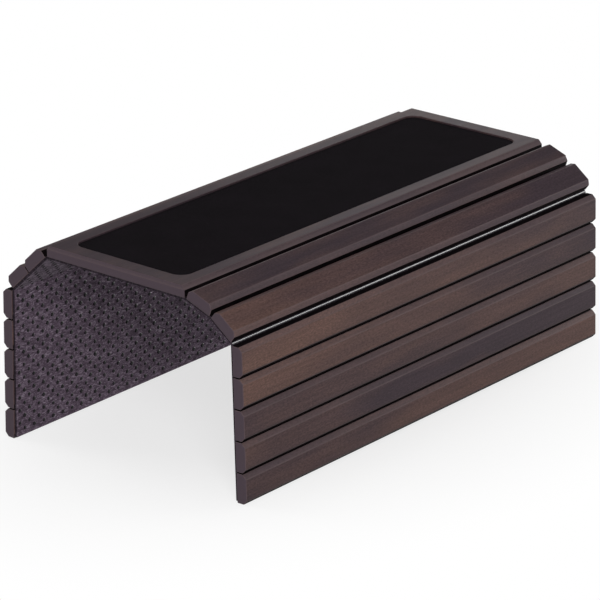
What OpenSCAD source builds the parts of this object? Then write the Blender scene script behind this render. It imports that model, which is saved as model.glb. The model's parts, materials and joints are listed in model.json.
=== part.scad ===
// Sofa arm tray. A flat wooden board with a felt mat let into its top lies on
// the arm of a sofa, and a run of narrow wooden slats hangs down on each side.
// One sheet of lining is glued under everything: between two pieces of wood it
// is free, and it bends there like a hinge, so the slats follow the arm.
// Millimetres. X runs along the board, Y across it and Z up. The origin is the
// middle of the footprint, on the surface that the lowest slats stand on.

/* [Tray] */
// Length of the board and of every slat
tray_len = 370; // [250:5:500]
// Width of the board, between the fold lines on its two sides
panel_w = 118; // [80:1:180]
// Thickness of the wood, in the board and in the slats
wood_t = 8; // [6:0.5:14]
// Chamfer along both long outer edges of the board and of every slat
edge_chamfer = 2.8; // [1:0.1:3.6]

/* [Slats] */
// Number of slats on each side of the board
slats_per_side = 7; // [4:1:12]
// Distance from one fold line to the next
slat_pitch = 21; // [14:0.5:32]
// Gap between neighbouring pieces of wood when the tray lies flat
wood_gap = 0.8; // [0.4:0.1:1.6]

/* [Folds] */
// Tilt of the board in degrees. Its back edge stands a little higher.
board_tilt = 2.5; // [0:0.5:3]
// Slope of the first slat at the front, in degrees below level
front_slope_1 = 23; // [10:1:35]
// Slope of the second slat at the front, in degrees below level
front_slope_2 = 40; // [36:1:60]
// Slope of the front wall. At 90 it hangs straight down, and past that its
// lower edge comes in.
front_wall_slope = 91; // [84:1:95]
// Slope of the back wall, whose lower edge stands a little further out
back_wall_slope = 86; // [80:1:95]

/* [Recess and mat] */
// Width of the wooden rim that is left around the recess
rim_w = 11.5; // [8:0.5:25]
// Depth of the recess in the top of the board
recess_depth = 3; // [1.5:0.25:4.5]
// Corner radius of the recess
recess_r = 9; // [4:0.5:25]
// Thickness of the felt mat
mat_t = 2; // [1:0.25:4]
// Clearance between the mat and the wall of the recess
mat_gap = 0.3; // [0.2:0.1:1]

/* [Lining] */
// Thickness of the lining
lining_t = 1.6; // [0.8:0.1:3]
// Distance that the lining stays back from the free edges of the wood
lining_inset = 1; // [0.5:0.25:4]
// Slit at each fold line between the pieces that the lining is divided into
fold_slit = 0.3; // [0.2:0.05:0.4]

/* [Hidden] */
$fn = 64;
sloped_slats = 2;
hanging_slats = slats_per_side - sloped_slats;
half_gap = wood_gap / 2;
half_slit = fold_slit / 2;
piece_t = lining_t + wood_t;

// Length of a wall, from its fold line to its free edge
wall_len = hanging_slats * slat_pitch - half_gap;

// How far a wall with a given slope reaches down. A wall that leans out stands
// on the inner edge of its lowest slat, and one that leans in on the shoulder
// below its chamfer.
shoulder_t = piece_t - edge_chamfer;
function wall_fall(wall_slope) =
    wall_len * sin(wall_slope)
        - (wall_slope < 90 ? lining_t : shoulder_t) * cos(wall_slope);

// Heights of the fold lines on the two sides of the board. The front slats set
// the height, and the tilt of the board adds its part at the back.
front_fold_z = slat_pitch * (sin(front_slope_1) + sin(front_slope_2))
    + wall_fall(front_wall_slope);
back_fold_z = front_fold_z + panel_w * sin(board_tilt);
panel_under_z = (front_fold_z + back_fold_z) / 2;

// The sloped slats at the back share what is left of the height equally, so
// that the back wall reaches the ground too
back_drop = back_fold_z - wall_fall(back_wall_slope);
back_slope = asin(back_drop / (sloped_slats * slat_pitch));

// The board and what lies in it
board_w = panel_w - wood_gap;
recess_len = tray_len - 2 * rim_w;
recess_w = board_w - 2 * rim_w;
recess_floor = piece_t - recess_depth;

lining_len = tray_len - 2 * lining_inset;

// Room above the board for the tool that cuts the recess
cut_over = 1;

// Slope of slat k, counted from 1 at the board
function slope(side, k) =
    side == "front"
        ? (k == 1 ? front_slope_1 : k == 2 ? front_slope_2 : front_wall_slope)
        : (k > sloped_slats ? back_wall_slope : back_slope);

// Distance of fold line k from the middle of the board, and its height. Fold
// line k is where slat k meets the piece before it, on the lining's inner face.
function fold_out(side, k) =
    k == 1
        ? panel_w / 2 * cos(board_tilt)
        : fold_out(side, k - 1) + slat_pitch * cos(slope(side, k - 1));
function fold_z(side, k) =
    k == 1
        ? (side == "front" ? front_fold_z : back_fold_z)
        : fold_z(side, k - 1) - slat_pitch * sin(slope(side, k - 1));

// How far a side reaches out from the middle of the board: to the outer face
// of its wall, at the bottom if the wall leans out and at the top if it leans
// in. The board moves over by half the difference of the two sides, which keeps
// the middle of the whole tray on the X axis.
function reach(side) =
    let (
        first = sloped_slats + 1,
        wall = slope(side, first),
        along = wall < 90 ? wall_len - edge_chamfer : half_gap + edge_chamfer
    )
    fold_out(side, first) + along * cos(wall) + piece_t * sin(wall);
board_y = (reach("front") - reach("back")) / 2;

SIDES = ["front", "back"];
SLATS = [for (side = SIDES) for (k = [1 : slats_per_side]) str(side, "_slat_", k)];
LININGS = [for (side = SIDES) for (k = [1 : slats_per_side]) str(side, "_lining_", k)];

// Bar along X whose end view is the given outline, with the outline's first
// axis along Y and its second along Z
module bar(len) {
    rotate([90, 0, 90])
        linear_extrude(height = len, center = true)
            children();
}

// End view of a piece of wood from y = a to y = b, lying on the lining, with a
// chamfer on both of its outer edges
module wood_section(a, b) {
    polygon([
        [a, lining_t],
        [b, lining_t],
        [b, shoulder_t],
        [b - edge_chamfer, piece_t],
        [a + edge_chamfer, piece_t],
        [a, shoulder_t]
    ]);
}

// End view of a piece of lining from y = a to y = b
module lining_section(a, b) {
    translate([a, 0])
        square([b - a, lining_t]);
}

// Rectangle with round corners, around the origin
module round_rect(size_x, size_y, r) {
    square([size_x - 2 * r, size_y], center = true);
    square([size_x, size_y - 2 * r], center = true);
    for (sx = [-1, 1])
        for (sy = [-1, 1])
            translate([sx * (size_x / 2 - r), sy * (size_y / 2 - r)])
                circle(r);
}

// Puts a piece of the board, drawn flat around the X axis, in its place
module on_board() {
    translate([0, board_y, panel_under_z])
        rotate([board_tilt, 0, 0])
            children();
}

// Puts a piece that is drawn flat, with its fold line on the X axis and its
// body towards +Y, in its place as number k of a side. The front is the back
// turned half round about Z.
module in_place(side, k) {
    translate([0, board_y, 0])
        rotate([0, 0, side == "front" ? 180 : 0])
            translate([0, fold_out(side, k), fold_z(side, k)])
                rotate([-slope(side, k), 0, 0])
                    children();
}

// The board, with its recess
module panel() {
    color("#5b4c4f")
        on_board()
            difference() {
                bar(tray_len)
                    wood_section(-board_w / 2, board_w / 2);
                translate([0, 0, recess_floor])
                    linear_extrude(height = recess_depth + cut_over)
                        round_rect(recess_len, recess_w, recess_r);
            }
}

// The felt mat, on the floor of the recess
module mat() {
    color("#181418")
        on_board()
            translate([0, 0, recess_floor])
                linear_extrude(height = mat_t)
                    round_rect(
                        recess_len - 2 * mat_gap,
                        recess_w - 2 * mat_gap,
                        recess_r - mat_gap
                    );
}

// The lining under the board
module lining_centre() {
    color("#453d45")
        on_board()
            bar(lining_len)
                lining_section(half_slit - panel_w / 2, panel_w / 2 - half_slit);
}

// One slat. All of them are alike.
module slat(side, k) {
    color("#504440")
        in_place(side, k)
            bar(tray_len)
                wood_section(half_gap, slat_pitch - half_gap);
}

// The lining on one slat. On the lowest slat it stops short of the free edge.
module slat_lining(side, k) {
    is_last = k == slats_per_side;
    edge = is_last ? slat_pitch - half_gap - lining_inset : slat_pitch - half_slit;
    color("#453d45")
        in_place(side, k)
            bar(lining_len)
                lining_section(half_slit, edge);
}

panel();
mat();
lining_centre();
for (side = SIDES)
    for (k = [1 : slats_per_side]) {
        slat(side, k);
        slat_lining(side, k);
    }
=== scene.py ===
# %% [markdown]
# # A sofa arm tray, dressed in Blender
# The tray is a flat wooden board with a felt mat let into its top. Seven wooden
# slats hang from each of its long sides. One sheet of lining is glued under all
# the wood, and it bends in the gaps, so the slats fold down over a sofa's arm.
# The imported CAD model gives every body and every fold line, in metres. This
# script makes the wood, the mat, the lining and its grip dots around it.

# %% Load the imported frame
import json
import math

import bmesh
import bpy
import numpy as np
from mathutils import Matrix, Vector


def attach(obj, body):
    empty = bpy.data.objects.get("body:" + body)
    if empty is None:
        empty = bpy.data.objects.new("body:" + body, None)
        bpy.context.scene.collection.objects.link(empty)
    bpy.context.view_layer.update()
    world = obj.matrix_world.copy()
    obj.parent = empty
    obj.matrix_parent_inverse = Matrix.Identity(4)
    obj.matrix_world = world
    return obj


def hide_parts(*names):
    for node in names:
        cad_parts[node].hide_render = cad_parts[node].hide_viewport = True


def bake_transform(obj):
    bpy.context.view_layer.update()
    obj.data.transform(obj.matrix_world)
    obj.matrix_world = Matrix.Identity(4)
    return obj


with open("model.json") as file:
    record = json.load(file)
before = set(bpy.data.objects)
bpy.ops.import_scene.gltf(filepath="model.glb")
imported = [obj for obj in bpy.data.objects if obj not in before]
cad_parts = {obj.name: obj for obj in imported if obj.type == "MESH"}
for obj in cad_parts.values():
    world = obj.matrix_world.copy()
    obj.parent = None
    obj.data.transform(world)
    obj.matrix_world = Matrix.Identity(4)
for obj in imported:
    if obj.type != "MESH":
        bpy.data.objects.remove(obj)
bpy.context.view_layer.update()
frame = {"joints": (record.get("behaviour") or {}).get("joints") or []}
scene = bpy.context.scene
scene.view_settings.view_transform = "Standard"

# %% [markdown]
# ## Measures of the real tray
# A maker keeps all sizes in one place. These are the sizes that the wood and
# the lining were cut to, in millimetres, turned to metres by MM. The heights
# count from the lining's inner face, because the hinge lines lie on it.

# %% Sizes of the wood and the lining
MM = 0.001
TRAY_LEN = 370 * MM
BOARD_W = 118 * MM
SLATS = 7
FIRST_UPRIGHT = 3
SLAT_PITCH = 21 * MM
WOOD_GAP = 0.8 * MM
SLAT_W = SLAT_PITCH - WOOD_GAP
WOOD_T = 8 * MM
LINING_T = 1.6 * MM
LINING_INSET = 1 * MM
WOOD_TOP = LINING_T + WOOD_T
CHAMFER = 2.8 * MM
ARRIS = 0.55 * MM
RIM_W = 11.5 * MM
RECESS_DEPTH = 3 * MM
RECESS_R = 9 * MM
MAT_T = 2 * MM
MAT_GAP = 0.3 * MM
print("lining when flat:", TRAY_LEN - 2 * LINING_INSET, "m long")

# %% [markdown]
# ## Where each piece lies
# A slat is drawn in its own frame: how far along the slat, from its fold line
# to its free edge, and how far out from the lining's inner face. The packed
# joints give the fold lines, so the slopes follow from them.

# %% Read the fold lines and work out the slopes
SIGN = {"front": -1, "back": 1}
FOLDS = {j["name"]: Vector(j["pos_m"]) for j in frame["joints"]}


def fold_line(side, k):
    """Point in the middle of fold line k, where slat k meets the piece before it."""
    return FOLDS[f"{side}_fold_{k}"]


def slope_between(side, a, b):
    """Slope in radians below level of the line from a to b, going away from the board."""
    return math.atan2(a.z - b.z, SIGN[side] * (b.y - a.y))


def slope(side, k):
    """Slope of slat k. Slat 0 is the board, and the last slat continues its wall."""
    if k == 0:
        other = "back" if side == "front" else "front"
        return slope_between(side, fold_line(other, 1), fold_line(side, 1))
    last = min(k, SLATS - 1)
    return slope_between(side, fold_line(side, last), fold_line(side, last + 1))


def axes(side, angle):
    """Unit vectors along a slat with that slope, and out of its outer face."""
    s = SIGN[side]
    along = Vector((0, s * math.cos(angle), -math.sin(angle)))
    out = Vector((0, s * math.sin(angle), math.cos(angle)))
    return along, out


for side in SIGN:
    print(side, "slopes:", [round(math.degrees(slope(side, k)), 1) for k in range(SLATS + 1)])

# %% [markdown]
# ## The camera
# The photograph was taken from the tray's near left corner, from a little
# above, with a long lens. The bearing, height and tilt were found by matching
# the tray's own corners in the photograph, so the view is set by numbers.

# %% Camera
PHOTO_PX = 600
FOCAL_PX = 3570.3
BEARING, DROP, ROLL = 49.122, 19.137, -2.4
CAMERA_AT = Vector((-1.7093, -1.4738, 0.8446))

camera_data = bpy.data.cameras.new("photo_camera")
camera_data.sensor_width = 36.0
camera_data.lens = FOCAL_PX / PHOTO_PX * camera_data.sensor_width
camera_data.clip_start, camera_data.clip_end = 0.1, 60.0
camera = bpy.data.objects.new("photo_camera", camera_data)
scene.collection.objects.link(camera)

yaw, pitch, roll = (math.radians(a) for a in (BEARING, DROP, ROLL))
ahead = Vector((math.sin(yaw) * math.cos(pitch), math.cos(yaw) * math.cos(pitch),
                -math.sin(pitch)))
level = Vector((math.cos(yaw), -math.sin(yaw), 0))
raised = level.cross(ahead)
right = math.cos(roll) * level + math.sin(roll) * raised
top = -math.sin(roll) * level + math.cos(roll) * raised
looking = Matrix((right, top, -ahead)).transposed().to_4x4()
camera.matrix_world = Matrix.Translation(CAMERA_AT) @ looking
scene.camera = camera
print("lens:", round(camera_data.lens, 1), "mm")

# %% [markdown]
# ## Helpers for node trees
# Every material and every Geometry Nodes tree here is built from nodes. One
# small function adds a node, sets it and links it. Another turns the sRGB hex
# values that a paint chart gives into the linear numbers that Blender mixes.

# %% Node and colour helpers
def add(tree, kind, inputs=(), stops=(), **settings):
    """Adds a node with its settings and links.

    inputs maps a socket's name or number to a value or to another node's output.
    stops are the places and colours of a colour ramp.
    """
    node = tree.nodes.new(kind)
    for name, value in settings.items():
        setattr(node, name, value)
    for key, value in dict(inputs).items():
        if isinstance(value, bpy.types.NodeSocket):
            tree.links.new(value, node.inputs[key])
        else:
            node.inputs[key].default_value = value
    if stops:
        elements = node.color_ramp.elements
        while len(elements) < len(stops):
            elements.new(0.5)
        for element, (place, colour) in zip(elements, stops):
            element.position = place
            element.color = colour
    return node


def srgb(text):
    """Linear RGBA of an sRGB hex colour."""
    parts = [int(text[i:i + 2], 16) / 255 for i in (1, 3, 5)]
    return [c / 12.92 if c <= 0.04045 else ((c + 0.055) / 1.055) ** 2.4 for c in parts] + [1.0]


def new_material(name):
    """An empty material, its tree and its output node."""
    material = bpy.data.materials.new(name)
    material.use_nodes = True
    material.node_tree.nodes.clear()
    return material, material.node_tree, add(material.node_tree, "ShaderNodeOutputMaterial")


print("white is", srgb("#FFFFFF")[:3])

# %% [markdown]
# ## Dark stained wood
# The slats look like a close-grained wood such as beech, stained dark brown and given a satin
# lacquer. The stain takes unevenly, so a slat drifts from a cool grey brown to a warm one along
# its length. The eye also gets long soft grain lines, a fine speckle, planed chamfers a little
# lighter than the faces, and arrises that handling has rubbed. The sawn edges along the gaps are
# painted almost black, and so is the lower chamfer of every slat that hangs upright: this is
# painted shade. Each slat has its own drift, so each gets its own material.

# %% Colours and grain of the wood
COOL_STAIN, WARM_STAIN = srgb("#372B31"), srgb("#5F4740")
END_GRAIN, RUBBED = srgb("#463A42"), srgb("#5E4F50")
# The second colour is painted shade: the near black given to the downward lower chamfer of an
# upright slat.
PLANED, LOW_CHAMFER_SHADE = srgb("#5E5155"), srgb("#080506")
# Length and width of the grain's features in millimetres. The photograph has
# one and a half pixels to a millimetre, and real fibres are far finer than
# that, so the fibres are drawn as coarse as they need to be to show.
CLOUD, STREAK, FIBRE = (85, 16), (46, 1.9), (2.2, 1.0)
CLOUD_SWING = 1.1
SEED_STEP = (1.7, 0.31, 0.23)


def grain_noise(tree, place, size_mm, **inputs):
    """Noise whose lumps are size_mm long and wide, in the wood's own frame."""
    long, wide = size_mm
    scale = (1 / (long * MM), 1 / (wide * MM), 1 / (wide * MM))
    stretched = add(tree, "ShaderNodeMapping", {"Vector": place, "Scale": scale})
    sockets = {"Vector": stretched.outputs["Vector"], "Scale": 1.0, **inputs}
    return add(tree, "ShaderNodeTexNoise", sockets).outputs["Fac"]


def stained(tree, x, place, drift):
    """The stain, warmer or cooler along X, with clouds where it has taken unevenly."""
    drifting = add(tree, "ShaderNodeMapRange", {
        "Value": x, "From Min": -TRAY_LEN / 2, "From Max": TRAY_LEN / 2,
        "To Min": drift[0], "To Max": drift[1]}).outputs["Result"]
    cloud = grain_noise(tree, place, CLOUD, Detail=2.0, Roughness=0.5)
    swing = add(tree, "ShaderNodeMath", {0: cloud, 1: CLOUD_SWING, 2: -CLOUD_SWING / 2},
                operation="MULTIPLY_ADD").outputs[0]
    warmth = add(tree, "ShaderNodeMath", {0: drifting, 1: swing}, operation="ADD",
                 use_clamp=True).outputs[0]
    return add(tree, "ShaderNodeValToRGB", {"Fac": warmth},
               stops=[(0.0, COOL_STAIN), (1.0, WARM_STAIN)]).outputs["Color"]


def grained(tree, colour, streak, fibre):
    """That colour with soft lines along the wood, and a speckle on them."""
    lines = add(tree, "ShaderNodeMapRange", {
        "Value": streak, "From Min": 0.3, "From Max": 0.7, "To Min": 0.84, "To Max": 1.14})
    speckle = add(tree, "ShaderNodeMapRange", {
        "Value": fibre, "From Min": 0.25, "From Max": 0.75, "To Min": 0.50, "To Max": 1.55})
    shade = add(tree, "ShaderNodeMath", {0: lines.outputs[0], 1: speckle.outputs[0]},
                operation="MULTIPLY")
    return add(tree, "ShaderNodeVectorMath", {0: colour, "Scale": shade.outputs[0]},
               operation="SCALE").outputs[0]


print("stain from", [round(c, 3) for c in COOL_STAIN[:3]],
      "to", [round(c, 3) for c in WARM_STAIN[:3]])

# %% [markdown]
# Four layers lie over the stain, and each covers what is below it by its share: planed chamfers,
# painted shade on the lower chamfer of an upright slat, end grain and rubbed arrises. The lacquer
# is satin, so a lamp gives the eye a broad, weak sheen and no clear reflection.

# %% Material: dark stained, satin lacquered wood
def stained_wood(name, centre, angle, drift, seed, chamfer_at, shade_low_chamfer=False):
    """Wood whose grain runs along X.

    drift is how warm the stain is at the two ends, from 0 to 1. chamfer_at is how far from the
    middle the chamfers start. The last argument is for wood that hangs upright: it paints shade,
    near black, on the lower chamfer, which faces down.
    """
    material, tree, output = new_material(name)
    spot = add(tree, "ShaderNodeTexCoord").outputs["Object"]
    own = add(tree, "ShaderNodeMapping", {
        "Vector": spot, "Location": centre, "Rotation": (angle, 0, 0)},
        vector_type="TEXTURE").outputs["Vector"]
    place = add(tree, "ShaderNodeVectorMath", {0: own, 1: [seed * step for step in SEED_STEP]},
                operation="ADD").outputs["Vector"]
    x, y, _ = add(tree, "ShaderNodeSeparateXYZ", {"Vector": own}).outputs
    streak = grain_noise(tree, place, STREAK, Detail=4.0, Roughness=0.6)
    fibre = grain_noise(tree, place, FIBRE, Detail=3.0, Roughness=0.7)
    colour = grained(tree, stained(tree, x, place, drift), streak, fibre)

    across = add(tree, "ShaderNodeMath", {0: y}, operation="ABSOLUTE")
    planed = add(tree, "ShaderNodeMapRange", {
        "Value": across.outputs[0], "From Min": chamfer_at - 0.15 * MM,
        "From Max": chamfer_at + 0.25 * MM, "To Max": 0.26})
    layers = [(planed, PLANED)]
    # Painted shade: the lower chamfer of a slat that hangs upright faces down, so it is painted
    # near black.
    if shade_low_chamfer:
        low = add(tree, "ShaderNodeMapRange", {
            "Value": y, "From Min": chamfer_at - 1.0 * MM, "From Max": chamfer_at + 0.1 * MM},
            interpolation_type="SMOOTHSTEP")
        layers.append((low, LOW_CHAMFER_SHADE))
    lengthwise = add(tree, "ShaderNodeMath", {0: x}, operation="ABSOLUTE")
    sawn = add(tree, "ShaderNodeMath", {0: lengthwise.outputs[0], 1: TRAY_LEN / 2 - 0.3 * MM},
               operation="GREATER_THAN")
    arris = add(tree, "ShaderNodeAttribute", attribute_name="arris").outputs["Fac"]
    worn = add(tree, "ShaderNodeMath", {0: arris, 1: streak}, operation="MULTIPLY")
    for share, finish in layers + [(sawn, END_GRAIN), (worn, RUBBED)]:
        colour = add(tree, "ShaderNodeMix", {0: share.outputs[0], 6: colour, 7: finish},
                     data_type="RGBA").outputs[2]

    rough = add(tree, "ShaderNodeMapRange", {
        "Value": fibre, "From Min": 0.3, "From Max": 0.7, "To Min": 0.44, "To Max": 0.58})
    bump = add(tree, "ShaderNodeBump", {"Height": fibre, "Strength": 0.2, "Distance": 0.2 * MM})
    shader = add(tree, "ShaderNodeBsdfPrincipled", {
        "Base Color": colour, "Roughness": rough.outputs[0], "Normal": bump.outputs["Normal"],
        "IOR": 1.48, "Specular IOR Level": 0.16})
    tree.links.new(shader.outputs["BSDF"], output.inputs["Surface"])
    return material


print("finishes over the stain: planed, low_chamfer_shade, end grain, rubbed")


# %% Material: painted shade for the edges along the gaps
EDGE_PATCH = (9, 2)


def painted_gap_shade():
    """Painted shade: sawn edges and downward chamfers so dull and dark that a gap reads as a
    black line between two slats.
    """
    material, tree, output = new_material("painted_gap_shade_edge")
    spot = add(tree, "ShaderNodeTexCoord").outputs["Object"]
    patches = grain_noise(tree, spot, EDGE_PATCH, Detail=2.0)
    colour = add(tree, "ShaderNodeValToRGB", {"Fac": patches}, stops=[
        (0.3, srgb("#060405")), (0.7, srgb("#140E10"))]).outputs["Color"]
    rough = add(tree, "ShaderNodeMapRange", {"Value": patches, "To Min": 0.8, "To Max": 0.95})
    shader = add(tree, "ShaderNodeBsdfPrincipled", {
        "Base Color": colour, "Roughness": rough.outputs[0], "Specular IOR Level": 0.03})
    tree.links.new(shader.outputs["BSDF"], output.inputs["Surface"])
    return material


black_edge = painted_gap_shade()
print("edge material:", black_edge.name)

# %% Warmth of the stain at the near and the far end of each piece of wood
DRIFTS = {
    "board": (0.05, 0.15),
    "front": [(0.15, 0.10), (0.60, 0.05), (1.00, 0.25), (0.95, 0.10), (0.30, 0.50),
              (0.45, -0.3), (0.25, 0.75)],
    "back": [(0.20, 0.40), (0.40, 0.20), (0.35, 0.55), (0.75, 0.30), (0.20, 0.35),
             (0.50, 0.70), (0.35, 0.20)]}
print("wooden pieces:", 1 + len(DRIFTS["front"]) + len(DRIFTS["back"]))

# %% [markdown]
# ## The slats
# A slat is a bar with a chamfer along both of its long outer edges. Fourteen
# of them repeat one rule, so a Geometry Nodes tree makes them: a rectangle gets
# its chamfers from a fillet of one segment, and is swept along the slat's
# length. A Bevel modifier then eases every edge, as sandpaper does.

# %% Start a Geometry Nodes tree, and set it on a modifier
def geometry_tree(name, **sizes):
    """A Geometry Nodes tree with named float inputs, its input node and its output node."""
    tree = bpy.data.node_groups.new(name, "GeometryNodeTree")
    tree.interface.new_socket("Geometry", in_out="INPUT", socket_type="NodeSocketGeometry")
    for label, value in sizes.items():
        socket = tree.interface.new_socket(label, in_out="INPUT", socket_type="NodeSocketFloat")
        socket.default_value = value
    tree.interface.new_socket("Geometry", in_out="OUTPUT", socket_type="NodeSocketGeometry")
    return tree, add(tree, "NodeGroupInput"), add(tree, "NodeGroupOutput")


def put_rule(thing, tree, **values):
    """Adds the tree to an object as a modifier, and sets its inputs by name."""
    modifier = thing.modifiers.new(tree.name, "NODES")
    modifier.node_group = tree
    for item in tree.interface.items_tree:
        if item.item_type == "SOCKET" and item.in_out == "INPUT" and item.name in values:
            modifier[item.identifier] = values[item.name]


print("tree helpers:", geometry_tree.__name__, put_rule.__name__)

# %% Geometry Nodes tree for one slat
SLAT_RULE = {"Length": TRAY_LEN, "Width": SLAT_W, "Thickness": WOOD_T, "Chamfer": CHAMFER}
slat_tree, given, made = geometry_tree("slat_rule", **SLAT_RULE)
section = add(slat_tree, "GeometryNodeCurvePrimitiveQuadrilateral",
              {"Width": given.outputs["Width"], "Height": given.outputs["Thickness"]})
corner = add(slat_tree, "GeometryNodeInputPosition")
corner_up = add(slat_tree, "ShaderNodeSeparateXYZ", {"Vector": corner.outputs["Position"]})
outer = add(slat_tree, "FunctionNodeCompare", {0: corner_up.outputs["Y"], 1: 0.0},
            operation="GREATER_THAN")
cut = add(slat_tree, "ShaderNodeMath", {0: outer.outputs[0], 1: given.outputs["Chamfer"]},
          operation="MULTIPLY")
chamfered = add(slat_tree, "GeometryNodeFilletCurve", {
    "Curve": section.outputs["Curve"], "Radius": cut.outputs[0], "Count": 1}, mode="POLY")
half = add(slat_tree, "ShaderNodeMath", {0: given.outputs["Length"], 1: 0.5},
           operation="MULTIPLY")
less = add(slat_tree, "ShaderNodeMath", {0: half.outputs[0], 1: -1.0}, operation="MULTIPLY")
near_end = add(slat_tree, "ShaderNodeCombineXYZ", {"Z": less.outputs[0]})
far_end = add(slat_tree, "ShaderNodeCombineXYZ", {"Z": half.outputs[0]})
rail = add(slat_tree, "GeometryNodeCurvePrimitiveLine",
           {"Start": near_end.outputs[0], "End": far_end.outputs[0]})
swept = add(slat_tree, "GeometryNodeCurveToMesh", {
    "Curve": rail.outputs["Curve"], "Profile Curve": chamfered.outputs["Curve"],
    "Fill Caps": True})
slat_paint = add(slat_tree, "GeometryNodeSetMaterial", {"Geometry": swept.outputs["Mesh"]})
slat_real = add(slat_tree, "GeometryNodeRealizeInstances",
                {"Geometry": slat_paint.outputs["Geometry"]})
slat_tree.links.new(slat_real.outputs["Geometry"], made.inputs["Geometry"])
print("slat tree nodes:", len(slat_tree.nodes))

# %% [markdown]
# The tree draws every slat round the Z axis of a scratch object. The next
# helpers take the evaluated mesh and lay it in its place, so the finished
# object itself sits at the origin, unturned. The bevel's middle points get an
# attribute named arris, which tells the wood where hands have rubbed it.

# %% Turn a tree's result into plain data
NARROW = 1.5 * MM


def plain_object(name, mesh):
    """A new object with that mesh, linked to the scene."""
    thing = bpy.data.objects.new(name, mesh)
    scene.collection.objects.link(thing)
    return thing


def evaluated_mesh(thing):
    """The mesh that an object's modifiers make, as plain data."""
    graph = bpy.context.evaluated_depsgraph_get()
    return bpy.data.meshes.new_from_object(thing.evaluated_get(graph), depsgraph=graph)


def mark_arrises(mesh):
    """Sets arris to 1 on points that touch only narrow faces, which the bevel made."""
    narrow = np.ones(len(mesh.vertices), bool)
    for face in mesh.polygons:
        ends = [(mesh.vertices[a].co, mesh.vertices[b].co) for a, b in face.edge_keys]
        shortest = min((a - b).length for a, b in ends)
        if face.area > NARROW * TRAY_LEN / 4 or shortest > NARROW:
            narrow[list(face.vertices)] = False
    attribute = mesh.attributes.new("arris", "FLOAT", "POINT")
    attribute.data.foreach_set("value", narrow.astype(np.float32))
    return int(narrow.sum())


def ease_edges(thing):
    """Adds the Bevel modifier that rounds every arris."""
    bevel = thing.modifiers.new("sanded_arrises", "BEVEL")
    bevel.width, bevel.segments, bevel.limit_method = ARRIS, 3, "ANGLE"
    bevel.angle_limit = math.radians(25)
    bevel.use_clamp_overlap = True
    bevel.harden_normals = True


print("faces narrower than", NARROW, "m belong to an arris")

# %% [markdown]
# Each slat gets its own wood, is swept and bevelled, and is then turned into its slope. Its edges
# along the gaps get the black edge, which is painted shade. So does the lower chamfer of a slat
# that hangs upright, which faces down.

# %% Make the slats
# How much of a face's normal has to point along the tray's width, for an edge,
# or down and outwards alike, for a lower chamfer.
FACES_GAP = 0.93
FACES_DOWN_AND_OUT = 0.6
# The back slats' grain starts between those of the front slats.
BACK_SEED = 0.5


def paint_gap_shade_faces(mesh, hangs):
    """Gives the black edge, painted shade, to the faces along the gaps and to an upright slat's
    lower chamfer, before the slat is turned.
    """
    mesh.materials.append(black_edge)
    for face in mesh.polygons:
        in_gap = abs(face.normal.x) > FACES_GAP
        low_chamfer = hangs and min(face.normal.x, face.normal.y) > FACES_DOWN_AND_OUT
        if in_gap or low_chamfer:
            face.material_index = 1


def make_slat(side, k):
    """One slat, in place, riding on its body."""
    name, hangs = f"{side}_slat_{k}", k >= FIRST_UPRIGHT
    along, out = axes(side, slope(side, k))
    centre = fold_line(side, k) + along * (SLAT_PITCH / 2) + out * (LINING_T + WOOD_TOP) / 2
    slat_paint.inputs["Material"].default_value = stained_wood(
        f"stained_wood_{name}", centre, math.atan2(along.z, along.y), DRIFTS[side][k - 1],
        k + (BACK_SEED if side == "back" else 0), SLAT_W / 2 - CHAMFER, shade_low_chamfer=hangs)
    scratch = plain_object("scratch", bpy.data.meshes.new("scratch"))
    put_rule(scratch, slat_tree, **SLAT_RULE)
    ease_edges(scratch)
    mesh = evaluated_mesh(scratch)
    bpy.data.objects.remove(scratch)
    paint_gap_shade_faces(mesh, hangs)
    turn = Matrix((along, out, along.cross(out))).transposed().to_4x4()
    mesh.transform(Matrix.Translation(centre) @ turn)
    mesh.name = f"{name}_wood"
    rubbed = mark_arrises(mesh)
    slat = plain_object(f"{name}_wood", mesh)
    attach(slat, f"{side}_{k}")
    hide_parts(name)
    return rubbed, len(mesh.polygons)


for side in SIGN:
    counts = [make_slat(side, k) for k in range(1, SLATS + 1)]
    print(side, "slats:", len(counts), "with rubbed points and faces:", counts[0])

# %% [markdown]
# ## The board
# The board is one wide piece of wood with a shallow recess milled into its
# top. Its outline at each height is a rounded rectangle, so it is lofted from
# rings that go up its outer side, over the rim and down into the recess. The
# rings give every edge its small rounding without a modifier.

# %% Rings and lofts
def rounded_ring(half_x, half_y, radius, z, corner_points=8):
    """Points round a rounded rectangle at height z, anticlockwise seen from above."""
    points = []
    for turn, (sx, sy) in enumerate([(1, 1), (-1, 1), (-1, -1), (1, -1)]):
        for i in range(corner_points + 1):
            a = math.radians(90 * (turn + i / corner_points))
            points.append(Vector((sx * (half_x - radius) + radius * math.cos(a),
                                  sy * (half_y - radius) + radius * math.sin(a), z)))
    return points


def loft(bm, rings):
    """Skins a list of rings with quads, closes both ends, and returns the rings' vertices."""
    rows = [[bm.verts.new(p) for p in ring] for ring in rings]
    count = len(rows[0])
    for low, high in zip(rows, rows[1:]):
        for i in range(count):
            j = (i + 1) % count
            bm.faces.new((low[i], low[j], high[j], high[i]))
    bm.faces.new(list(reversed(rows[0])))
    bm.faces.new(rows[-1])
    bmesh.ops.recalc_face_normals(bm, faces=bm.faces[:])
    return rows


def board_matrix():
    """The board's own frame: its middle on the lining's inner face, tilted with the board."""
    along, out = axes("back", slope("back", 0))
    middle = (fold_line("front", 1) + fold_line("back", 1)) / 2
    turn = Matrix((Vector((1, 0, 0)), along, out)).transposed().to_4x4()
    return Matrix.Translation(middle) @ turn


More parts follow.
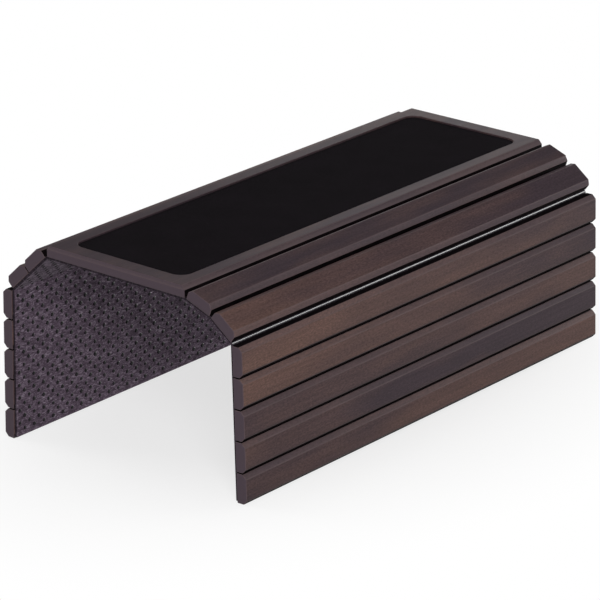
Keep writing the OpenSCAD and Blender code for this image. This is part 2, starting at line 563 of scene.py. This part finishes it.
def mesh_on_board(name, bm, materials):
    """The bmesh as a finished object in the board's frame."""
    mesh = bpy.data.meshes.new(name)
    bm.to_mesh(mesh)
    bm.free()
    mesh.transform(board_matrix())
    for material in materials:
        mesh.materials.append(material)
    return plain_object(name, mesh)


print("one ring has", len(rounded_ring(1, 1, 0.1, 0)), "points")

# %% Outline of the board at each height
board_x, board_y = TRAY_LEN / 2, (BOARD_W - WOOD_GAP) / 2
recess_x, recess_y = board_x - RIM_W, board_y - RIM_W
recess_z = WOOD_TOP - RECESS_DEPTH
# A ring of the outer side: how far in from the ends, how far in from the long
# sides, the corner radius and the height.
OUTSIDE = [(ARRIS, ARRIS, 0.2 * ARRIS, LINING_T),
           (0.3 * ARRIS, 0.3 * ARRIS, 0.6 * ARRIS, LINING_T + 0.3 * ARRIS),
           (0, 0, ARRIS, LINING_T + ARRIS),
           (0, 0, ARRIS, WOOD_TOP - CHAMFER - 0.3 * ARRIS),
           (0, 0.3 * ARRIS, ARRIS, WOOD_TOP - CHAMFER + 0.1 * ARRIS),
           (0, CHAMFER - ARRIS, ARRIS, WOOD_TOP - ARRIS),
           (0.3 * ARRIS, CHAMFER - 0.3 * ARRIS, ARRIS, WOOD_TOP - 0.2 * ARRIS),
           (ARRIS, CHAMFER + 0.3 * ARRIS, ARRIS, WOOD_TOP)]
# A ring of the recess: how far out from its wall, and how far down from the top.
RECESS = [(0.6 * ARRIS, 0), (0.15 * ARRIS, 0.2 * ARRIS), (0, 0.7 * ARRIS), (0, RECESS_DEPTH)]
# The rings that hands have rubbed, counted in that order from 0.
RUBBED_RINGS = (1, 4, 6, len(OUTSIDE) + 1)
BOARD_SEED = 11
board_rings = [rounded_ring(board_x - in_x, board_y - in_y, radius, z)
               for in_x, in_y, radius, z in OUTSIDE]
board_rings += [rounded_ring(recess_x + out, recess_y + out, RECESS_R + out, WOOD_TOP - down)
                for out, down in RECESS]
print("rings of the board:", len(board_rings))

# %% Make the board
bm = bmesh.new()
# A new layer makes references to older vertices invalid, so it comes first.
arris_layer = bm.verts.layers.float.new("arris")
rows = loft(bm, board_rings)
for number in RUBBED_RINGS:
    for vertex in rows[number]:
        vertex[arris_layer] = 1.0
# The board's long edges along the gaps get the black edge too, as painted shade.
for face in bm.faces:
    outside_recess = abs(face.calc_center_median().y) > recess_y + 2 * MM
    if abs(face.normal.y) > FACES_GAP and outside_recess:
        face.material_index = 1
board_middle = board_matrix() @ Vector((0, 0, (LINING_T + WOOD_TOP) / 2))
board_wood = stained_wood("stained_wood_board", board_middle, -slope("back", 0),
                          DRIFTS["board"], BOARD_SEED, board_y - CHAMFER)
board = mesh_on_board("board_wood", bm, [board_wood, black_edge])
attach(board, "tray")
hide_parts("panel")
print("board:", len(board.data.polygons), "faces")

# %% [markdown]
# ## The felt mat
# The mat is a sheet of short, dense black felt, laid loose in the recess. Its
# fibres stand every way, so it has hardly any shine, only a faint sheen at a
# flat angle and a little lint. Its cut edge is a bit rounded, and it doesn't lie
# dead flat: slow waves of a tenth of a millimetre break up its surface.

# %% Material: dense black felt
# The tufts are 0.9 mm wide and the specks of lint 5.5 mm apart, because single
# fibres are too fine to show.
FELT_TUFT, FELT_CLOUD, LINT_STEP = 0.9 * MM, 22 * MM, 5.5 * MM


def black_felt():
    """Felt so dark and dull that the eye takes the recess for a soft black field."""
    material, tree, output = new_material("black_pressed_felt")
    spot = add(tree, "ShaderNodeTexCoord").outputs["Object"]
    fibres = add(tree, "ShaderNodeTexNoise", {
        "Vector": spot, "Scale": 1 / FELT_TUFT, "Detail": 3.0, "Roughness": 0.7,
        "Distortion": 1.2}).outputs["Fac"]
    cloud = add(tree, "ShaderNodeTexNoise", {
        "Vector": spot, "Scale": 1 / FELT_CLOUD, "Detail": 2.0}).outputs["Fac"]
    lint = add(tree, "ShaderNodeTexVoronoi", {
        "Vector": spot, "Scale": 1 / LINT_STEP, "Randomness": 1.0}).outputs["Distance"]
    body = add(tree, "ShaderNodeValToRGB", {"Fac": fibres}, stops=[
        (0.25, srgb("#080508")), (0.75, srgb("#151015"))]).outputs["Color"]
    brushed = add(tree, "ShaderNodeMapRange", {
        "Value": cloud, "From Min": 0.3, "From Max": 0.7, "To Min": 0.85, "To Max": 1.15})
    tone = add(tree, "ShaderNodeVectorMath", {0: body, "Scale": brushed.outputs[0]},
               operation="SCALE")
    speck = add(tree, "ShaderNodeMapRange", {
        "Value": lint, "From Min": 0.0, "From Max": 0.06, "To Min": 0.35, "To Max": 0.0})
    colour = add(tree, "ShaderNodeMix", {
        0: speck.outputs[0], 6: tone.outputs[0], 7: srgb("#6A6268")}, data_type="RGBA")
    bump = add(tree, "ShaderNodeBump", {"Height": fibres, "Strength": 0.5, "Distance": 0.3 * MM})
    shader = add(tree, "ShaderNodeBsdfPrincipled", {
        "Base Color": colour.outputs[2], "Roughness": 1.0, "Specular IOR Level": 0.02,
        "Sheen Weight": 0.01, "Sheen Roughness": 0.5, "Normal": bump.outputs["Normal"]})
    tree.links.new(shader.outputs["BSDF"], output.inputs["Surface"])
    return material


mat_felt = black_felt()
print("mat material:", mat_felt.name)

# %% Make the mat
mat_x, mat_y, mat_r = recess_x - MAT_GAP, recess_y - MAT_GAP, RECESS_R - MAT_GAP
# The rounded edge: millimetres in from the side, and share of the mat's height.
EDGE = [(0.0, 0.0), (0.0, 0.6), (0.06, 0.8), (0.22, 0.93), (0.5, 1.0)]
TOP_RINGS = 14
SMALLEST_R = 0.2 * MM
WAVE = 0.06 * MM


def wave(x, y):
    """Height of the mat's waves: 13 cm long and 10 cm wide ones, and 4 cm ones aslant."""
    return WAVE * (math.sin(x * 47 + 1.3) * math.cos(y * 61) + 0.5 * math.sin(x * 121 + y * 93))


mat_rings = [rounded_ring(mat_x - inset * MM, mat_y - inset * MM, mat_r - inset * MM,
                          recess_z + up * MAT_T) for inset, up in EDGE]
for share in np.linspace(0.02, 0.97, TOP_RINGS):
    flat_r = max(mat_r * (1 - share), SMALLEST_R)
    mat_rings.append(rounded_ring(mat_x - share * mat_y, mat_y * (1 - share), flat_r,
                                  recess_z + MAT_T))
for ring in mat_rings[len(EDGE):]:
    for p in ring:
        p.z += wave(p.x, p.y)
bm = bmesh.new()
loft(bm, mat_rings)
mat = mesh_on_board("felt_mat", bm, [mat_felt])
mat.data.shade_smooth()
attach(mat, "tray")
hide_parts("mat")
print("mat:", round(2 * mat_x, 4), "x", round(2 * mat_y, 4), "m")

# %% [markdown]
# ## The lining
# One felt sheet lines the whole inside. It is grey felt of mixed light and dark
# fibres, which gives it a mottled, heathered look. Its outer side is coated
# with the black film of adhesive that holds the wood, and that film is glossy:
# where the tray turns its sharpest corner it catches the light as a thin line.
# The cut edge of the felt is darker than its face.

# %% Where a point lies on the flat sheet
SHEET_SCALE = 0.9


def sheet_spot(tree):
    """The place on the flat sheet in metres, from the UV map that the strips get."""
    flat = add(tree, "ShaderNodeUVMap", uv_map="sheet_uv").outputs["UV"]
    scale = (SHEET_SCALE,) * 3
    return add(tree, "ShaderNodeMapping", {"Vector": flat, "Scale": scale}).outputs["Vector"]


print("UV times", SHEET_SCALE, "is metres on the sheet")

# %% Material: heathered grey felt
# Length and width of the matted tufts, and their lean to either side in radians.
# Real hairs are finer than a pixel of the photograph, so the tufts are drawn as
# coarse as they need to be to show.
TUFT_LEN, TUFT_WIDTH = 3.2 * MM, 1.0 * MM
LEANS = (0.8, -0.75)
BLOTCH = 9 * MM


def heathered_felt(name, dark, middle, light):
    """Light and dark tufts that cross, so the eye sees mixed wool and no flat grey."""
    material, tree, output = new_material(name)
    spot = sheet_spot(tree)
    blotch = add(tree, "ShaderNodeTexNoise", {
        "Vector": spot, "Scale": 1 / BLOTCH, "Detail": 2.0}).outputs["Fac"]
    hairs = []
    for lean in LEANS:
        leaning = add(tree, "ShaderNodeMapping", {
            "Vector": spot, "Rotation": (0, 0, lean),
            "Scale": (1 / TUFT_LEN, 1 / TUFT_WIDTH, 1)}).outputs["Vector"]
        hairs.append(add(tree, "ShaderNodeTexNoise", {
            "Vector": leaning, "Scale": 1.0, "Detail": 1.5, "Roughness": 0.6,
            "Distortion": 0.9}).outputs["Fac"])
    matted = add(tree, "ShaderNodeMath", {0: hairs[0], 1: hairs[1]},
                 operation="MAXIMUM").outputs[0]
    shifted = add(tree, "ShaderNodeMath", {0: blotch, 1: 0.25, 2: matted},
                  operation="MULTIPLY_ADD")
    spread = add(tree, "ShaderNodeMapRange", {
        "Value": shifted.outputs[0], "From Min": 0.52, "From Max": 0.88})
    colour = add(tree, "ShaderNodeValToRGB", {"Fac": spread.outputs[0]}, stops=[
        (0.0, srgb(dark)), (0.5, srgb(middle)), (1.0, srgb(light))]).outputs["Color"]
    bump = add(tree, "ShaderNodeBump", {"Height": matted, "Strength": 0.6, "Distance": 0.5 * MM})
    shader = add(tree, "ShaderNodeBsdfPrincipled", {
        "Base Color": colour, "Roughness": 0.95, "Specular IOR Level": 0.05,
        "Sheen Weight": 0.03, "Sheen Roughness": 0.5, "Normal": bump.outputs["Normal"]})
    tree.links.new(shader.outputs["BSDF"], output.inputs["Surface"])
    return material


felt = heathered_felt("heathered_grey_felt", "#382E38", "#574957", "#8B7E8C")
cut_felt = heathered_felt("cut_felt_edge", "#1E181E", "#2C252C", "#463D46")
print("felts:", felt.name, cut_felt.name)


# %% Materials: glossy adhesive film, silicone dots
RIPPLE, GRIME = 2.5 * MM, 3 * MM


def adhesive_film():
    """A rippled black film with a clear gloss, which breaks a lamp's light into glints."""
    material, tree, output = new_material("black_adhesive_film")
    ripple = add(tree, "ShaderNodeTexNoise", {
        "Vector": sheet_spot(tree), "Scale": 1 / RIPPLE, "Detail": 2.0,
        "Roughness": 0.6}).outputs["Fac"]
    colour = add(tree, "ShaderNodeValToRGB", {"Fac": ripple}, stops=[
        (0.3, srgb("#17131A")), (0.7, srgb("#2A242B"))]).outputs["Color"]
    rough = add(tree, "ShaderNodeMapRange", {"Value": ripple, "To Min": 0.16, "To Max": 0.34})
    bump = add(tree, "ShaderNodeBump", {"Height": ripple, "Strength": 0.6, "Distance": 0.3 * MM})
    shader = add(tree, "ShaderNodeBsdfPrincipled", {
        "Base Color": colour, "Roughness": rough.outputs[0], "Specular IOR Level": 1.0,
        "Coat Weight": 1.0, "Coat Roughness": 0.14, "Normal": bump.outputs["Normal"]})
    tree.links.new(shader.outputs["BSDF"], output.inputs["Surface"])
    return material


def silicone_dots():
    """Dull black silicone, darker than the felt, so the dots read as a pattern."""
    material, tree, output = new_material("black_silicone_dots")
    spot = add(tree, "ShaderNodeTexCoord").outputs["Object"]
    grime = add(tree, "ShaderNodeTexNoise", {
        "Vector": spot, "Scale": 1 / GRIME, "Detail": 2.0}).outputs["Fac"]
    colour = add(tree, "ShaderNodeValToRGB", {"Fac": grime}, stops=[
        (0.3, srgb("#050306")), (0.7, srgb("#0D090E"))]).outputs["Color"]
    rough = add(tree, "ShaderNodeMapRange", {"Value": grime, "To Min": 0.5, "To Max": 0.7})
    shader = add(tree, "ShaderNodeBsdfPrincipled", {
        "Base Color": colour, "Roughness": rough.outputs[0], "Specular IOR Level": 0.15})
    tree.links.new(shader.outputs["BSDF"], output.inputs["Surface"])
    return material


film, silicone = adhesive_film(), silicone_dots()
print("other lining materials:", film.name, silicone.name)

# %% [markdown]
# The lining is made in strips. Each strip spans one fold line, from the middle
# of one piece of wood to the middle of the next, so it bends across one joint
# only. A narrow zone at the fold line turns from one slope to the next. Where
# two strips meet they lie flat under the same slat, so no seam shows. The UV map
# is the flat sheet itself, so the felt runs on from strip to strip.

# %% Places on the lining
TURN_ZONE = 0.8 * MM
STRIP_CUT = 9.8 * MM
ZONE_STEPS, BOARD_STEPS = 9, 13
FILM_CLEARANCE = 0.02 * MM
sheet_x = TRAY_LEN / 2 - LINING_INSET
sheet_y = BOARD_W / 2 + SLATS * SLAT_PITCH - WOOD_GAP / 2 - LINING_INSET
film_z = LINING_T - FILM_CLEARANCE


def turning(q):
    """Share of the fold that a point q metres past the fold line has turned by."""
    t = min(1.0, max(0.0, (q + TURN_ZONE) / (2 * TURN_ZONE)))
    return t * t * (3 - 2 * t)


def sheet_point(side, k, q, x, up):
    """A point q metres past fold line k, up metres out from the lining's inner face."""
    angle = slope(side, k - 1) + turning(q) * (slope(side, k) - slope(side, k - 1))
    along, out = axes(side, angle)
    return fold_line(side, k) + Vector((x, 0, 0)) + along * q + out * up


def flat_place(side, k, q):
    """Where that point lies on the flat sheet, from the board's middle line."""
    return SIGN[side] * (BOARD_W / 2 + (k - 1) * SLAT_PITCH + q)


def fold_steps(k):
    """Steps across a strip: closer together in the zone that turns."""
    end = STRIP_CUT if k < SLATS else SLAT_PITCH - WOOD_GAP / 2 - LINING_INSET
    start = STRIP_CUT - SLAT_PITCH if k > 1 else -STRIP_CUT
    zone = list(np.linspace(-TURN_ZONE, TURN_ZONE, ZONE_STEPS))
    return [start, start / 2] + zone + [end / 2, end]


print("half of the flat sheet:", round(sheet_x, 4), "x", round(sheet_y, 4), "m")

# %% Strips of lining
STRIP_COLUMNS = 24
# The sheet's middle lies here in the UV map. The film's side is moved along by
# FILM_SHIFT, so a dot that is looked up there always finds the felt's side.
UV_MIDDLE = (0.2, 0.22)
FILM_SHIFT = 0.45
FELT_SIDE, FILM_SIDE, CUT_SIDE = 0, 1, 2


def strip_mesh(name, point_at, places):
    """A closed strip. point_at(i, x, up) gives points, and places each step's flat coordinate."""
    bm = bmesh.new()
    uv = bm.loops.layers.uv.new("sheet_uv")
    xs = np.linspace(-sheet_x, sheet_x, STRIP_COLUMNS + 1)
    grid = {up: [[bm.verts.new(point_at(i, x, up)) for x in xs] for i in range(len(places))]
            for up in (0, film_z)}

    def quad(corners, index):
        face = bm.faces.new([grid[up][i][j] for up, i, j in corners])
        face.material_index = index
        shift = FILM_SHIFT if index == FILM_SIDE else 0
        for loop, (up, i, j) in zip(face.loops, corners):
            loop[uv].uv = ((xs[j] + UV_MIDDLE[0] + shift) / SHEET_SCALE,
                           (places[i] + UV_MIDDLE[1]) / SHEET_SCALE)

    last_i, last_j, f = len(places) - 1, STRIP_COLUMNS, film_z
    for i in range(last_i):
        for j in range(last_j):
            quad([(0, i, j), (0, i + 1, j), (0, i + 1, j + 1), (0, i, j + 1)], FELT_SIDE)
            quad([(f, i, j), (f, i, j + 1), (f, i + 1, j + 1), (f, i + 1, j)], FILM_SIDE)
        for j in (0, last_j):
            quad([(0, i, j), (f, i, j), (f, i + 1, j), (0, i + 1, j)], CUT_SIDE)
    for j in range(last_j):
        for i in (0, last_i):
            quad([(0, i, j), (0, i, j + 1), (f, i, j + 1), (f, i, j)], CUT_SIDE)
    bmesh.ops.recalc_face_normals(bm, faces=bm.faces[:])
    mesh = bpy.data.meshes.new(name)
    bm.to_mesh(mesh)
    bm.free()
    for material in (felt, film, cut_felt):
        mesh.materials.append(material)
    return mesh


print("faces across one strip:", STRIP_COLUMNS)

# %% Make the strips, and the middle one under the board
strips = []
for side in SIGN:
    for k in range(1, SLATS + 1):
        steps = fold_steps(k)
        mesh = strip_mesh(f"{side}_lining_fold_{k}",
                          lambda i, x, up: sheet_point(side, k, steps[i], x, up),
                          [flat_place(side, k, q) for q in steps])
        strips.append((side, k, plain_object(mesh.name, mesh), steps[-1] - steps[0]))
flat_steps = np.linspace(-1, 1, BOARD_STEPS) * (BOARD_W / 2 - STRIP_CUT)
board_frame = board_matrix()
mesh = strip_mesh("board_lining",
                  lambda i, x, up: board_frame @ Vector((x, flat_steps[i], up)), list(flat_steps))
board_lining = plain_object("board_lining", mesh)
print("strips:", len(strips) + 1)

# %% [markdown]
# ## The grip dots
# Small black dots of silicone are printed on the lining, so that it doesn't
# slide on the sofa. They sit in a square pattern turned by 45 degrees: columns
# 4.5 mm apart, with a dot every 9 mm, each column shifted by half a step. A
# Geometry Nodes tree lays this lattice out on the flat sheet, looks up each
# point on the bent strip through its UV map, and keeps those that hit it. It
# also drops the dots that the sheet's edge would cut.

# %% Geometry Nodes tree: the lattice on the flat sheet
DOT_D = 2.8 * MM
# First is where the first column lies along X. Phase shifts every row along Y.
DOT_RULE = {"Column": 4.5 * MM, "Row": 9.0 * MM, "Diameter": DOT_D, "Height": 0.25 * MM,
            "First": -0.1808, "Phase": 6.5 * MM,
            "Last X": sheet_x - DOT_D / 2, "Last Y": sheet_y - DOT_D / 2}
DOT_COLUMNS, DOT_ROWS = 81, 47
dot_tree, given, made = geometry_tree("grip_dot_rule", **DOT_RULE)
grid = add(dot_tree, "GeometryNodeMeshGrid", {
    "Size X": 1.0, "Size Y": 1.0, "Vertices X": DOT_COLUMNS, "Vertices Y": DOT_ROWS})
number = add(dot_tree, "GeometryNodeInputIndex")
column = add(dot_tree, "ShaderNodeMath", {0: number.outputs[0], 1: float(DOT_ROWS)},
             operation="DIVIDE")
column = add(dot_tree, "ShaderNodeMath", {0: column.outputs[0]}, operation="FLOOR")
row = add(dot_tree, "ShaderNodeMath", {0: number.outputs[0], 1: float(DOT_ROWS)},
          operation="MODULO")
centred = add(dot_tree, "ShaderNodeMath", {0: row.outputs[0], 1: float(DOT_ROWS // 2)},
              operation="SUBTRACT")
odd = add(dot_tree, "ShaderNodeMath", {0: column.outputs[0], 1: 2.0}, operation="MODULO")
shifted = add(dot_tree, "ShaderNodeMath", {0: odd.outputs[0], 1: 0.5, 2: centred.outputs[0]},
              operation="MULTIPLY_ADD")
across = add(dot_tree, "ShaderNodeMath", {
    0: shifted.outputs[0], 1: given.outputs["Row"], 2: given.outputs["Phase"]},
    operation="MULTIPLY_ADD")
along = add(dot_tree, "ShaderNodeMath", {
    0: column.outputs[0], 1: given.outputs["Column"], 2: given.outputs["First"]},
    operation="MULTIPLY_ADD")
flat_u = add(dot_tree, "ShaderNodeMath", {0: along.outputs[0], 1: UV_MIDDLE[0]}, operation="ADD")
flat_v = add(dot_tree, "ShaderNodeMath", {0: across.outputs[0], 1: UV_MIDDLE[1]}, operation="ADD")
flat_uv = add(dot_tree, "ShaderNodeCombineXYZ", {"X": flat_u.outputs[0], "Y": flat_v.outputs[0]})
lookup = add(dot_tree, "ShaderNodeVectorMath", {0: flat_uv.outputs[0], "Scale": 1 / SHEET_SCALE},
             operation="SCALE")
print("lattice points:", DOT_COLUMNS * DOT_ROWS)

# %% Look the lattice up on the bent strip
strip_uv = add(dot_tree, "GeometryNodeInputNamedAttribute", {"Name": "sheet_uv"},
               data_type="FLOAT_VECTOR")


def on_strip(kind):
    """Looks a value up on the strip at each dot's place on the flat sheet."""
    value = add(dot_tree, kind)
    return add(dot_tree, "GeometryNodeSampleUVSurface", {
        "Mesh": given.outputs["Geometry"], "Value": value.outputs[0],
        "UV Map": strip_uv.outputs["Attribute"], "Sample UV": lookup.outputs[0]},
        data_type="FLOAT_VECTOR")


def past_edge(distance, limit):
    """Tells which dots lie further from the middle than the tree's input of that name."""
    reach = add(dot_tree, "ShaderNodeMath", {0: distance.outputs[0]}, operation="ABSOLUTE")
    return add(dot_tree, "ShaderNodeMath", {0: reach.outputs[0], 1: given.outputs[limit]},
               operation="GREATER_THAN")


place, facing = on_strip("GeometryNodeInputPosition"), on_strip("GeometryNodeInputNormal")
past_x, past_y = past_edge(along, "Last X"), past_edge(across, "Last Y")
past = add(dot_tree, "FunctionNodeBooleanMath", {0: past_x.outputs[0], 1: past_y.outputs[0]},
           operation="OR")
off_strip = add(dot_tree, "FunctionNodeBooleanMath", {0: place.outputs["Is Valid"]},
                operation="NOT")
missed = add(dot_tree, "FunctionNodeBooleanMath", {0: off_strip.outputs[0], 1: past.outputs[0]},
             operation="OR")
tested = add(dot_tree, "GeometryNodeStoreNamedAttribute", {
    "Geometry": grid.outputs["Mesh"], "Name": "missed", "Value": missed.outputs[0]},
    data_type="BOOLEAN", domain="POINT")
turned_out = add(dot_tree, "GeometryNodeStoreNamedAttribute", {
    "Geometry": tested.outputs["Geometry"], "Name": "facing", "Value": facing.outputs["Value"]},
    data_type="FLOAT_VECTOR", domain="POINT")
laid = add(dot_tree, "GeometryNodeSetPosition", {
    "Geometry": turned_out.outputs["Geometry"], "Position": place.outputs["Value"]})
print("dot tree nodes so far:", len(dot_tree.nodes))

# %% [markdown]
# Points that missed the strip sit wherever the lookup left them, so they go
# before anything is put on the rest. A dot is a low cone with its tip cut off:
# ten sides are enough for something 2.8 mm wide. Its size varies a little.

# %% Put a dot on every point that is left
DOT_SIDES = 10
# Share of a dot's radius that its flat top has, and how far its size varies.
CROWN = 0.62
DOT_SIZES, DOT_SEED = (0.9, 1.12), 7
gone = add(dot_tree, "GeometryNodeInputNamedAttribute", {"Name": "missed"},
           data_type="BOOLEAN")
kept = add(dot_tree, "GeometryNodeDeleteGeometry", {
    "Geometry": laid.outputs["Geometry"], "Selection": gone.outputs["Attribute"]},
    domain="POINT")
radius = add(dot_tree, "ShaderNodeMath", {0: given.outputs["Diameter"], 1: 0.5},
             operation="MULTIPLY")
crown = add(dot_tree, "ShaderNodeMath", {0: radius.outputs[0], 1: CROWN}, operation="MULTIPLY")
dot = add(dot_tree, "GeometryNodeMeshCone", {
    "Vertices": DOT_SIDES, "Side Segments": 1, "Fill Segments": 1,
    "Radius Top": crown.outputs[0], "Radius Bottom": radius.outputs[0],
    "Depth": given.outputs["Height"]}, fill_type="NGON")
read = add(dot_tree, "GeometryNodeInputNamedAttribute", {"Name": "facing"},
           data_type="FLOAT_VECTOR")
turned = add(dot_tree, "FunctionNodeAlignRotationToVector",
             {"Vector": read.outputs["Attribute"]}, axis="Z")
varied = add(dot_tree, "FunctionNodeRandomValue", {
    2: DOT_SIZES[0], 3: DOT_SIZES[1], "Seed": DOT_SEED}, data_type="FLOAT")
dots = add(dot_tree, "GeometryNodeInstanceOnPoints", {
    "Points": kept.outputs["Geometry"], "Instance": dot.outputs["Mesh"],
    "Rotation": turned.outputs["Rotation"], "Scale": varied.outputs[1]})
real = add(dot_tree, "GeometryNodeRealizeInstances", {"Geometry": dots.outputs["Instances"]})
black = add(dot_tree, "GeometryNodeSetMaterial",
            {"Geometry": real.outputs["Geometry"], "Material": silicone})
dot_tree.links.new(black.outputs["Geometry"], made.inputs["Geometry"])


def grip_dots(strip, name):
    """The dots on one strip, as a plain mesh, and how many there are."""
    carrier = plain_object("carrier", strip.data.copy())
    put_rule(carrier, dot_tree, **DOT_RULE)
    mesh = evaluated_mesh(carrier)
    bpy.data.objects.remove(carrier)
    for spare in ("facing", "missed"):
        if spare in mesh.attributes:
            mesh.attributes.remove(mesh.attributes[spare])
    mesh.name = name
    return plain_object(name, mesh), len(mesh.polygons) // (DOT_SIDES + 2)


print("dot tree nodes:", len(dot_tree.nodes))

# %% [markdown]
# Each strip and its dots are baked where they were made, already bent across their fold line over
# the narrow zone, and follow no body. The middle strip lies flat under the board and rides with
# it.

# %% Dress every strip, and bake it in place
total = 0
for side, k, strip, width in strips:
    dots, count = grip_dots(strip, f"{side}_grip_dots_{k}")
    total += count
    for piece in (strip, dots):
        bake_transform(piece)
    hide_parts(f"{side}_lining_{k}")
dots, count = grip_dots(board_lining, "board_grip_dots")
total += count
for piece in (board_lining, dots):
    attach(piece, "tray")
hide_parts("lining_centre")
print("grip dots:", total)

# %% [markdown]
# ## Floor, world and lamps
# The tray stands on white paper in a studio. Near the tray, the camera and the
# reflections see the paper partly as the lamps light it, so it shows a soft
# shadow, and further out more and more as plain white. For the light that
# bounces off it on to the tray it is a light grey, so the undersides of the
# chamfers stay as dark as in the photograph.

# %% Floor
FLOOR_SIZE, FLOOR_DROP = 14.0, 0.3 * MM
PAPER_TOOTH = 900.0
# Half length and half width of the shadow's ellipse. It fades to plain white
# between these shares of them, and its middle is already two thirds white.
SHADOW_X, SHADOW_Y = 0.30, 0.21
SHADOW_FADE, SHADOW_WHITE = (0.45, 1.3), 0.67


def white_paper():
    """Matt white paper, which gives the eye a plain ground and a soft shadow."""
    material, tree, output = new_material("white_background_paper")
    ray = add(tree, "ShaderNodeLightPath").outputs
    seen = add(tree, "ShaderNodeMath", {0: ray["Is Camera Ray"], 1: ray["Is Glossy Ray"]},
               operation="MAXIMUM")
    seen = add(tree, "ShaderNodeMath", {0: seen.outputs[0], 1: ray["Is Transmission Ray"]},
               operation="MAXIMUM")
    spot = add(tree, "ShaderNodeTexCoord").outputs["Object"]
    tooth = add(tree, "ShaderNodeTexNoise", {"Vector": spot, "Scale": PAPER_TOOTH}).outputs["Fac"]
    grey = add(tree, "ShaderNodeValToRGB", {"Fac": tooth}, stops=[
        (0.0, srgb("#C8C8C8")), (1.0, srgb("#CCCCCC"))]).outputs["Color"]
    paper = add(tree, "ShaderNodeBsdfDiffuse", {"Color": grey})
    white = add(tree, "ShaderNodeBsdfDiffuse", {"Color": (0.95, 0.95, 0.95, 1)})
    glow = add(tree, "ShaderNodeEmission", {"Color": (1, 1, 1, 1), "Strength": 1.0})
    squeezed = add(tree, "ShaderNodeVectorMath", {0: spot, 1: (1 / SHADOW_X, 1 / SHADOW_Y, 1)},
                   operation="MULTIPLY")
    reach = add(tree, "ShaderNodeVectorMath", {0: squeezed.outputs[0]}, operation="LENGTH")
    share = add(tree, "ShaderNodeMapRange", {
        "Value": reach.outputs["Value"], "From Min": SHADOW_FADE[0], "From Max": SHADOW_FADE[1],
        "To Min": SHADOW_WHITE, "To Max": 1.0}, interpolation_type="SMOOTHSTEP")
    shown = add(tree, "ShaderNodeMixShader", {
        0: share.outputs[0], 1: white.outputs[0], 2: glow.outputs[0]})
    mixed = add(tree, "ShaderNodeMixShader", {
        0: seen.outputs[0], 1: paper.outputs[0], 2: shown.outputs[0]})
    tree.links.new(mixed.outputs[0], output.inputs["Surface"])
    return material


bpy.ops.mesh.primitive_plane_add(size=FLOOR_SIZE, location=(0, 0, -FLOOR_DROP))
floor = bpy.context.object
floor.name = "studio_floor"
floor.data.materials.append(white_paper())
print("floor:", [round(x, 1) for x in floor.dimensions])

# %% World: white to the camera, and a weak even light for everything else
WORLD_LIGHT = 0.24
world = bpy.data.worlds.new("studio_world")
scene.world = world
world.use_nodes = True
world.node_tree.nodes.clear()
ray = add(world.node_tree, "ShaderNodeLightPath")
strength = add(world.node_tree, "ShaderNodeMapRange", {
    "Value": ray.outputs["Is Camera Ray"], "To Min": WORLD_LIGHT, "To Max": 1.0})
sky = add(world.node_tree, "ShaderNodeBackground", {
    "Color": (1, 1, 1, 1), "Strength": strength.outputs[0]})
add(world.node_tree, "ShaderNodeOutputWorld", {"Surface": sky.outputs[0]})
print("world nodes:", len(world.node_tree.nodes))

# %% [markdown]
# The key light hangs just above the camera, so it lights what the camera sees.
# Two boxes stand low. One shines on the near end. The other stands beyond the
# far end, about in line with the inside of the tray, so it lights the lining,
# more so towards the far end, and the outside of the front wall only a little.
# The strip light stands to the right, and the film in the gap below the second
# front slat reflects it as a thin bright line. The others hang above the tray
# and behind it.

# %% Lamps
# Name, place, the point it aims at, width and height, all in metres, and watts.
LAMPS = [("key_softbox", (-1.4, -1.35, 1.25), (0, 0, 0.1), (0.8, 0.8), 24),
         ("low_fill", (-2.1, -1.1, 0.16), (0, 0, 0.08), (0.9, 0.26), 9),
         ("far_end_fill", (1.1, -0.08, 0.06), (0, 0.08, 0.07), (0.2, 0.08), 15),
         ("top_softbox", (0.3, 0.4, 2.2), (0, 0, 0.1), (1.2, 1.2), 5),
         ("back_light", (1.0, 0.62, 0.48), (0.15, 0, 0.1), (0.5, 0.3), 1.2),
         ("back_fill", (-0.5, 2.2, 1.0), (0, 0.1, 0.08), (1.0, 0.6), 16),
         ("strip_light", (1.50, -1.15, 0.75), (0, -0.1, 0.1), (1.1, 0.7), 9)]


def softbox(name, place, aim, size, watts):
    """A rectangular area lamp."""
    data = bpy.data.lights.new(name, "AREA")
    data.shape, data.size, data.size_y, data.energy = "RECTANGLE", size[0], size[1], watts
    lamp = bpy.data.objects.new(name, data)
    scene.collection.objects.link(lamp)
    lamp.location = place
    lamp.rotation_euler = (Vector(aim) - Vector(place)).to_track_quat("-Z", "Y").to_euler()


for lamp in LAMPS:
    softbox(*lamp)
print("lamps:", len(LAMPS))
